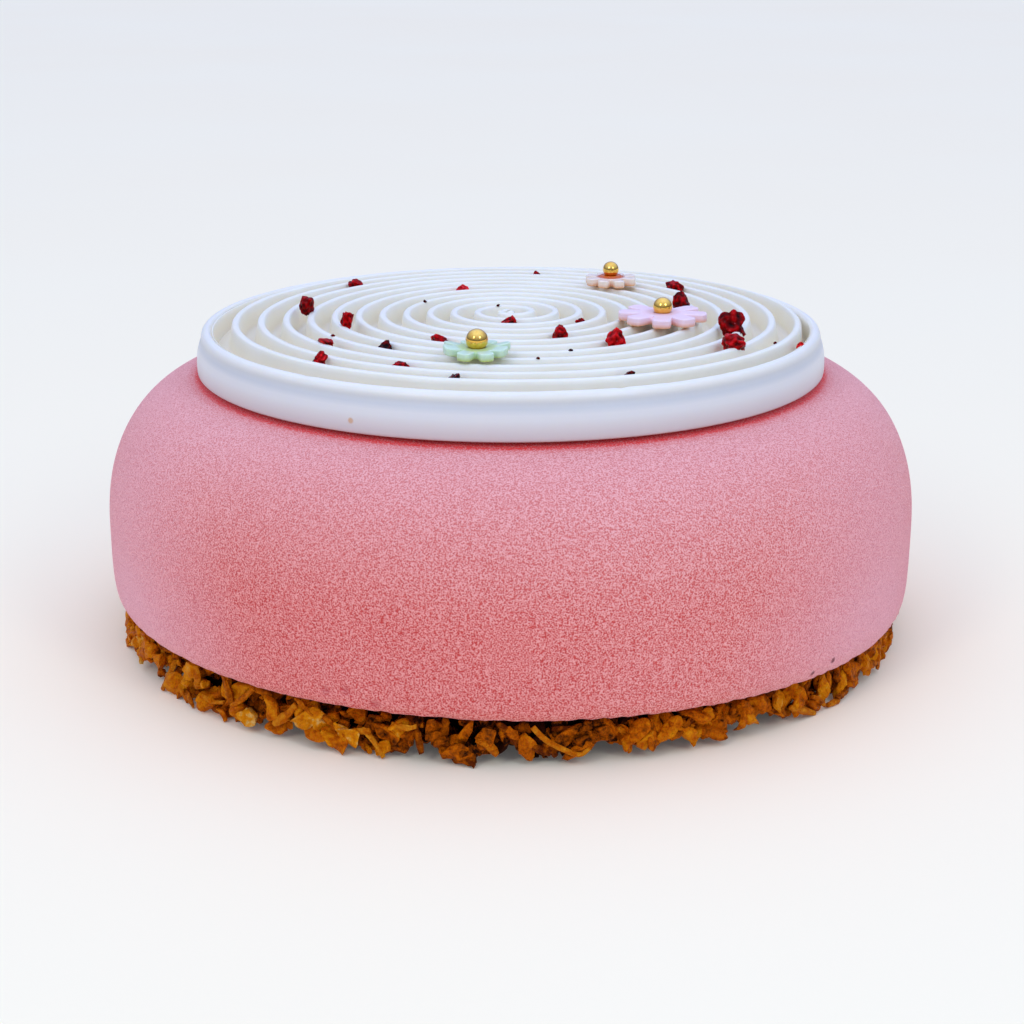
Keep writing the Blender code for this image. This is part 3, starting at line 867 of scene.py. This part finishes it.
def shape_raspberry(vertices, draw):
    """Turn a ball into a broken piece, and give its painted light and shade at each vertex."""
    shift = random_vector(draw, 9)
    cuts = []
    for _ in range(FACETS):
        heading = Vector((draw.uniform(-1, 1), draw.uniform(-1, 1), draw.uniform(-0.7, 1)))
        cuts.append((heading.normalized(), draw.uniform(0.27, 0.42)))
    hollow = Vector((draw.uniform(-0.6, 0.6), -1, draw.uniform(-0.1, 0.7))).normalized() * 0.5
    painted_shading = []
    for vertex in vertices:
        heading = vertex.co.normalized()
        place = vertex.co * (1.12 + 0.30 * noise.noise(heading * 1.4 + shift))
        for towards, limit in cuts:
            over = place.dot(towards) - limit
            if over > 0:
                place -= towards * over * 0.85
        apart = (place - hollow).length
        deep = exp(-(apart / HOLLOW_SIZE) ** 2)
        place *= 1 - HOLLOW_DEPTH * deep
        folds = noise.noise(place * 5 + shift) * FOLD_DEPTH
        creases = abs(noise.noise(place * 9 + shift)) * CREASE_DEPTH
        vertex.co = place * (1 + folds - creases)
        # Painted light on the folds, painted shade in the creases and the hollow
        painted_shading.append(3.2 * folds - 1.2 * creases - 0.30 * deep + 0.05)
    return painted_shading


def make_raspberry():
    """All raspberry pieces as one mesh, wedged between the crests."""
    mesh_data = bmesh.new()
    tints_and_shading = []
    for place, length, depth, height, rise, turn, tint in RASPBERRY:
        draw = random.Random(round(place[0] * 1e4) * 1000 + round(place[1] * 1e4))
        angle = atan2(place[1], place[0])
        lift = crest_surface(hypot(*place), angle) + rise - height / 2
        detail = 6 if height > LARGE_PIECE else 5
        if height < SMALL_PIECE:
            detail = 2
        made = bmesh.ops.create_icosphere(mesh_data, subdivisions=detail, radius=0.5)["verts"]
        painted_shading = shape_raspberry(made, draw)
        low = Vector((min(vertex.co[axis] for vertex in made) for axis in range(3)))
        high = Vector((max(vertex.co[axis] for vertex in made) for axis in range(3)))
        size = high - low
        middle = (high + low) / 2
        for vertex in made:
            spot = vertex.co - middle
            vertex.co = (spot.x / size.x, spot.y / size.y, spot.z / size.z)
        towards = Matrix.Rotation(angle + pi / 2, 3, "Z")
        bmesh.ops.scale(mesh_data, verts=made, vec=(length, depth, height))
        bmesh.ops.rotate(mesh_data, verts=made, matrix=towards)
        bmesh.ops.translate(mesh_data, verts=made, vec=(place[0], place[1], lift))
        tints_and_shading.extend(tint + shading for shading in painted_shading)
    item = finish_piece("raspberry_pieces", mesh_data, raspberry_material())
    add_numbers(item.data, "tint", tints_and_shading)
    attach(item, "raspberry", "chocolate_plaque")


# Flake base

def back_openings():
    """Openings at the back and the sides, spaced as unevenly as those in front."""
    draw = random.Random(21)
    result = []
    place = -12.0
    while place < 190:
        result.append((place, draw.uniform(0.4, 1.0)))
        place += draw.uniform(9, 20)
    return tuple(result)


BACK_OPENINGS = back_openings()


def opening_height(angle):
    """How high the ragged lower edge stands open at an angle."""
    share = 0.0
    for degrees, depth in OPENINGS + BACK_OPENINGS:
        apart = remainder(angle - radians(degrees), 2 * pi)
        share = max(share, depth * exp(-(apart / OPENING_HALF_WIDTH) ** 2))
    return OPENING_HEIGHT * share


def make_core():
    """The dark crumbly body of the base, its darkness painted shade, with a rough side and a flat
    underside.
    """
    vertices = []
    shades = []
    for index in range(CORE_SEGMENTS):
        angle = 2 * pi * index / CORE_SEGMENTS
        across = cos(angle)
        deep = sin(angle)
        ceiling = base_top(CORE_RADIUS * across) - GAP
        vertices.append((BASE_FLAT_RADIUS * across, BASE_FLAT_RADIUS * deep, 0.0))
        shades.append(0.0)
        for row in range(CORE_ROWS):
            height = ceiling * (row + 1) / CORE_ROWS
            inward = FOOT_INSET * (1 - between(height, 0.0, opening_height(angle) + FOOT_RISE))
            place = Vector((CORE_RADIUS * across, CORE_RADIUS * deep, height))
            lumps = abs(noise.noise(place * 400)) * CORE_RELIEF
            lumps += noise.noise(place * 1100) * CORE_FINE_RELIEF
            radius = CORE_RADIUS - CORE_INSET + lumps - inward
            vertices.append((radius * across, radius * deep, height))
            # Painted shade: darker in the hollows between the core's lumps
            shades.append(0.15 + lumps * 150)
    vertices.append((0, 0, 0))
    vertices.append((0, 0, BASE_HEIGHT - GAP))
    shades.extend((0.0, 0.0))
    faces = turned_faces(CORE_SEGMENTS, CORE_ROWS + 1)
    item = new_piece("flake_core", vertices, faces, flake_material("shaded_core", *CORE_SHADE_BROWNS))
    add_numbers(item.data, "shade", shades)
    tidy_mesh(item, weld=None)
    attach(item, "golden_flakes", "crunch_base")


def ball(detail):
    """Places and faces of a ball with a diameter of one."""
    mesh_data = bmesh.new()
    bmesh.ops.create_icosphere(mesh_data, subdivisions=detail, radius=0.5)
    places = [vertex.co.copy() for vertex in mesh_data.verts]
    faces = [tuple(vertex.index for vertex in face.verts) for face in mesh_data.faces]
    mesh_data.free()
    return places, faces


FINE_BALL = ball(3)
COARSE_BALL = ball(2)


def shard_form(draw, length, width, thickness):
    """A thick flake with straight broken edges, bent and lumpy, pale where it is broken."""
    shift = random_vector(draw, 50)
    count = draw.randint(4, 6)
    cuts = []
    for number in range(count):
        heading = 2 * pi * (number + draw.uniform(-0.35, 0.35)) / count
        slant = draw.uniform(-0.3, 0.3)
        towards = Vector((cos(heading), sin(heading), slant)).normalized()
        cuts.append((towards, draw.uniform(0.26, 0.44)))
    bend = draw.uniform(-0.5, 1.0) * length * 0.5
    twist = draw.uniform(-1.2, 1.2) * width
    pale = draw.uniform(-1.2, 0.2)
    vertices = []
    shades = []
    for place in FINE_BALL[0]:
        spot = place * (1 + 0.5 * noise.noise(place * 2.4 + shift))
        broken = 0.0
        for towards, limit in cuts:
            over = spot.dot(towards) - limit
            if over > 0:
                spot -= towards * over * 0.92
                broken = 1.0
        flat = Vector((spot.x * length, spot.y * width, 0))
        z = copysign(abs(spot.z * 2) ** 0.5, spot.z) * thickness / 2
        z *= 1 + 0.8 * noise.noise(flat * 520 + shift + place)
        z += bend * (spot.x ** 2 - 0.05) + twist * spot.x * spot.y
        z += noise.noise(flat * 420 + shift) * 0.0011
        vertices.append(flat + Vector((0, 0, z)))
        shades.append(broken * max(pale, 0.0))
    return vertices, FINE_BALL[1], shades


def sliver_form(draw, length, width, thickness):
    """A long curved strand with six sides, uneven and blunt at both ends."""
    stations = 10
    sides = 6
    bend = draw.uniform(0.0, 0.5) * length
    twist = draw.uniform(-0.8, 0.8)
    vertices = []
    for station in range(stations):
        along = station / (stations - 1) * 2 - 1
        size = (1 - 0.35 * abs(along) ** 3) * draw.uniform(0.8, 1.2)
        middle = bend * (0.12 - along * along / 4)
        for side in range(sides):
            turn = 2 * pi * side / sides + twist * along
            y = cos(turn) * width / 2 * size + middle
            z = sin(turn) * thickness / 2 * size + middle * 0.4
            vertices.append(Vector((along * length / 2, y, z)))
    return vertices, tube_faces(stations, sides), [0.0] * len(vertices)


def nugget_form(draw, length, width, thickness):
    """A small lumpy crumb."""
    shift = random_vector(draw, 50)
    vertices = []
    for place in COARSE_BALL[0]:
        swell = 1 + 0.7 * noise.noise(place * 3.2 + shift) + 0.4 * noise.noise(place * 7 + shift)
        spot = place * swell
        vertices.append(Vector((spot.x * length, spot.y * width, spot.z * thickness)))
    return vertices, COARSE_BALL[1], [0.0] * len(vertices)


def scatter(name, count, seed, form, sizes, depth, wobble, colours, shades_between):
    """Lay pieces round the side of the base, over its ragged lower edge and under the mousse.

    The sizes are ranges of length, width and thickness, and the depth is how far in a piece
    may lie. The wobble is how far it may lean from lying flat against the side.
    """
    draw = random.Random(seed)
    vertices = []
    faces = []
    shades = []
    for index in range(count):
        angle = 2 * pi * (index + draw.random()) / count
        outward = Vector((cos(angle), sin(angle), 0))
        ceiling = base_top(FLAKE_REACH * outward.x) - GAP
        bottom = opening_height(angle)
        height = bottom + (ceiling - bottom) * draw.random() ** 1.15
        under = between(height, ceiling - UNDER_BAND, ceiling)
        inset = UNEVEN_INSET + UNDER_INSET * max(0.0, noise.noise(outward * 16))
        reach = FLAKE_REACH - under * inset
        reach -= UNEVEN_INSET * (1 + noise.noise(outward * 24))
        tilt = random_vector(draw, 1)
        up = (outward + tilt * wobble).normalized()
        aside = up.cross(Vector((0, 0, 1)))
        if aside.length < 0.05:
            aside = up.cross(outward)
        aside.normalize()
        turn = Matrix((aside, up.cross(aside), up)).transposed()
        turn = turn @ Matrix.Rotation(draw.uniform(0, pi), 3, "Z")
        length, width, thickness = (draw.uniform(*size) for size in sizes)
        corners, sides, pale = form(draw, length, width, thickness)
        places = [turn @ corner for corner in corners]
        farthest = max(place.dot(outward) for place in places)
        sunk = depth[0] + (depth[1] - depth[0]) * draw.random() ** 1.5
        middle = outward * (reach - farthest - sunk)
        middle.z = height
        places = [middle + place for place in places]
        top = max(place.z + place.x * tan(BASE_TILT) for place in places)
        drop = max(0.0, top - (BASE_HEIGHT - GAP - HAIR))
        lowest = min(place.z for place in places) - drop
        lift = max(0.0, bottom * 0.9 + FLOOR_GAP - lowest) if drop == 0 else 0.0
        start = len(vertices)
        for place in places:
            far = hypot(place.x, place.y)
            shrink = min(1.0, FLAKE_REACH / far)
            height = max(place.z - drop + lift, FLOOR_GAP)
            height = min(height, base_top(place.x) - GAP)
            vertices.append((place.x * shrink, place.y * shrink, height))
        faces.extend(tuple(start + corner for corner in side) for side in sides)
        # Painted shade under the mousse, deeper in and round the middle of the front, and painted light to
        # the left
        shade = draw.uniform(*shades_between) - 0.2 * under - PAINTED_SHADE_PER_DEPTH * sunk
        shade -= PAINTED_SHADE_SHARE * exp(-((angle - PAINTED_SHADE_HEADING) / PAINTED_SHADE_HALF_WIDTH) ** 2)
        shade -= PAINTED_LIGHT_LEFT * outward.x
        shades.extend(shade + shading for shading in pale)
    item = new_piece(name, vertices, faces, flake_material(name, *colours))
    tidy_mesh(item, weld=None)
    add_numbers(item.data, "shade", shades)
    item.data.set_sharp_from_angle(angle=SHARP_ANGLE)
    attach(item, "golden_flakes", "crunch_base")


def make_long_strand():
    """The one long strand that curls down over the base at the front."""
    sides = 8
    path = smooth_path(LONG_STRAND, 6)
    vertices = []
    for index, (across, height) in enumerate(path):
        before = path[max(index - 1, 0)]
        after = path[min(index + 1, len(path) - 1)]
        along = Vector((after[0] - before[0], 0, after[1] - before[1])).normalized()
        aside = along.cross(Vector((0, 1, 0)))
        size = STRAND_RADIUS * (1 - 0.5 * (index / len(path)) ** 4)
        front = -sqrt((FLAKE_REACH - STRAND_RADIUS) ** 2 - across ** 2)
        for side in range(sides):
            turn = 2 * pi * side / sides
            spot = aside * cos(turn) * size * 1.4 + Vector((0, sin(turn) * size * 0.8, 0))
            vertices.append(Vector((across, front, height)) + spot)
    material = flake_material("toasted_strand", *STRAND_BROWNS)
    item = new_piece("toasted_strand", vertices, tube_faces(len(path), sides), material)
    tidy_mesh(item)
    add_numbers(item.data, "shade", [0.5] * len(item.data.vertices))
    item.data.set_sharp_from_angle(angle=SHARP_ANGLE)
    attach(item, "golden_flakes", "crunch_base")


def make_crunch():
    """The whole base: its core, three kinds of scattered pieces and the long strand."""
    make_core()
    scatter(
        "toasted_flakes", SHARD_COUNT, seed=7, form=shard_form,
        sizes=((0.0042, 0.0088), (0.0024, 0.0050), (0.0010, 0.0020)),
        depth=(-0.0008, 0.0036), wobble=0.58, colours=GOLDEN_BROWNS, shades_between=(0.30, 0.74),
    )
    scatter(
        "toasted_slivers", SLIVER_COUNT, seed=19, form=sliver_form,
        sizes=((0.0038, 0.0090), (0.0011, 0.0020), (0.0008, 0.0014)),
        depth=(-0.0003, 0.0012), wobble=0.35, colours=STRAND_BROWNS, shades_between=(0.2, 0.7),
    )
    scatter(
        "toasted_crumbs", NUGGET_COUNT, seed=31, form=nugget_form,
        sizes=((0.0014, 0.0034), (0.0012, 0.0026), (0.0010, 0.0022)),
        depth=(0.0018, 0.0046), wobble=0.9, colours=GOLDEN_BROWNS, shades_between=(0.4, 0.85),
    )
    make_long_strand()


# Flowers and pearls

def add_prism(mesh_data, outline, low, high):
    """A closed upright prism over a flat outline."""
    under = [mesh_data.verts.new((x, y, low)) for x, y in outline]
    over = [mesh_data.verts.new((x, y, high)) for x, y in outline]
    mesh_data.faces.new(under[::-1])
    mesh_data.faces.new(over)
    for index in range(len(outline)):
        after = (index + 1) % len(outline)
        mesh_data.faces.new((under[index], under[after], over[after], over[index]))


def petal_shape(reach, width, heading, start):
    """Outline of one petal with a rounded end, pointing along a heading."""
    points = [(start * reach, -0.36 * width)]
    straight = reach - width * 0.42
    steps = 12
    for step in range(steps + 1):
        swing = pi * (step / steps - 0.5)
        x = straight + width * 0.42 * max(cos(swing), 0.0) ** 0.7
        y = width / 2 * copysign(abs(sin(swing)) ** 0.7, sin(swing))
        points.append((x, y))
    points.append((start * reach, 0.36 * width))
    across = cos(heading)
    deep = sin(heading)
    return [(x * across - y * deep, x * deep + y * across) for x, y in points]


def circle(radius, count=32):
    """Places round a circle."""
    headings = [2 * pi * index / count for index in range(count)]
    return [(radius * cos(heading), radius * sin(heading)) for heading in headings]


def make_flower(name, material):
    """A gummy flower, melted together from its petals and hub, with a seat for its pearl."""
    place, reach, width, thickness, curl, rise, pearl_radius, first_angle = FLOWERS[name]
    distance = hypot(*place)
    towards = atan2(place[1], place[0])
    nearest = crest_surface(distance - reach, towards)
    bottom = max(nearest, crest_surface(distance + reach, towards)) + GAP
    hub_top = bottom + thickness + rise
    seat_depth = min(thickness + rise - SEAT_FLOOR, SEAT_DEPTH)
    pearl_height = hub_top - seat_depth + GAP + pearl_radius
    draw = random.Random(len(name) * 31 + 4)
    mesh_data = bmesh.new()
    for number in range(PETALS):
        heading = radians(first_angle - 90) + 2 * pi * number / PETALS
        heading += radians(draw.uniform(-2, 2))
        own_reach = reach * draw.uniform(0.95, 1.0)
        outline = petal_shape(own_reach, width * draw.uniform(0.92, 1.0), heading, 0.15)
        add_prism(mesh_data, outline, 0.0, thickness * draw.uniform(0.92, 1.0))
    hub = width / 2 / sin(pi / PETALS)
    add_prism(mesh_data, circle(hub), 0.0, thickness + min(rise, 0.0))
    if rise > 0:
        add_prism(mesh_data, circle(pearl_radius * 1.35), 0.0, thickness + rise)
    item = finish_piece("gummy_" + name, mesh_data, material)
    melt = item.modifiers.new("melt", "REMESH")
    melt.mode = "VOXEL"
    melt.voxel_size = MELT_STEP
    soften = item.modifiers.new("soften", "SMOOTH")
    soften.factor = 0.5
    soften.iterations = 5
    depsgraph = bpy.context.evaluated_depsgraph_get()
    mesh = bpy.data.meshes.new_from_object(item.evaluated_get(depsgraph))
    item.modifiers.clear()
    item.data = mesh
    for vertex in mesh.vertices:
        spot = vertex.co
        away = hypot(spot.x, spot.y)
        sideways = spot.x / max(away, HAIR)
        z = spot.z + bottom + curl * sideways ** 4 * (away / reach) ** 2
        if away < pearl_radius:
            room = pearl_radius + SEAT_ROOM
            seat = pearl_height - sqrt(room * room - away * away)
            z = min(z, seat)
        vertex.co = (place[0] + spot.x, place[1] + spot.y, max(z, bottom))
    mesh.materials.clear()
    mesh.materials.append(material)
    mesh.shade_smooth()
    attach(item, name + "_gummy", "flower_" + name)


def make_pearl(name, material):
    """A golden sugar pearl, not quite round, in its flower's seat."""
    low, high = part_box("pearl_" + name)
    middle = (low + high) / 2
    radius = (high.z - low.z) / 2
    mesh_data = bmesh.new()
    bmesh.ops.create_uvsphere(mesh_data, u_segments=64, v_segments=40, radius=radius)
    for vertex in mesh_data.verts:
        heading = vertex.co.normalized()
        vertex.co *= 0.995 + 0.005 * noise.noise(heading * 2.0 + middle * 900)
        vertex.co += middle
    item = finish_piece("golden_pearl_" + name, mesh_data, material)
    attach(item, "gold_pearl", "pearl_" + name)


def make_toppings():
    """The three flowers, each with its pearl."""
    gold = gold_material()
    for name, (top, under, hub, gloss) in FLOWER_LOOKS.items():
        place, _, _, thickness, _, rise, pearl_radius, _ = FLOWERS[name]
        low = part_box("flower_" + name)[0].z
        material = gummy_material(
            name + "_gummy", top, under, place, hub, pearl_radius * 1.9,
            low, low + thickness * 0.5, gloss,
        )
        make_flower(name, material)
        make_pearl(name, gold)


# Stage, light and camera

def make_floor():
    """A wide, pale floor under the cake."""
    half = FLOOR_HALF_WIDTH
    corners = [(-half, -half, 0), (half, -half, 0), (half, half, 0), (-half, half, 0)]
    floor = new_piece("floor", corners, [(0, 1, 2, 3)], floor_material(), smooth=False)


def add_softbox(name, place, size, power, colour):
    """A soft rectangular light that looks at the cake."""
    light = bpy.data.lights.new(name, "AREA")
    light.shape = "RECTANGLE"
    light.size, light.size_y = size
    light.energy = power
    light.color = colour
    item = add_item(name, light)
    item.location = place
    target = Vector((0, 0, 0.05))
    item.rotation_euler = (target - Vector(place)).to_track_quat("-Z", "Y").to_euler()


def make_light():
    """A soft room, brighter towards its ceiling, and two soft windows in front."""
    world = bpy.data.worlds.new("soft_room")
    world.use_nodes = True
    tree = world.node_tree
    sky = tree.nodes["Background"]
    heading = tree.nodes.new("ShaderNodeTexCoord")
    parts = tree.nodes.new("ShaderNodeSeparateXYZ")
    tree.links.new(heading.outputs["Generated"], parts.inputs[0])
    brighter = tree.nodes.new("ShaderNodeMapRange")
    tree.links.new(parts.outputs["Z"], brighter.inputs["Value"])
    brighter.inputs["To Min"].default_value = SKY_LOW
    brighter.inputs["To Max"].default_value = SKY_HIGH
    tree.links.new(brighter.outputs["Result"], sky.inputs["Strength"])
    sky.inputs["Color"].default_value = SKY_COLOUR
    bpy.context.scene.world = world
    for window in WINDOWS:
        add_softbox(*window)


def make_camera():
    """The camera in front of the cake, fitted to the photograph."""
    data = bpy.data.cameras.new("camera")
    data.lens = CAMERA_LENS
    data.sensor_width = 36
    data.shift_x = CAMERA_SHIFT
    camera = add_item("camera", data)
    camera.location = (0, -CAMERA_DISTANCE, CAMERA_HEIGHT)
    camera.rotation_euler = (pi / 2 - CAMERA_PITCH, 0, 0)
    bpy.context.scene.camera = camera
    bpy.context.scene.view_settings.view_transform = "Standard"


make_camera()
make_light()
make_floor()
make_mousse()
make_plaque()
make_raspberry()
make_crunch()
make_toppings()
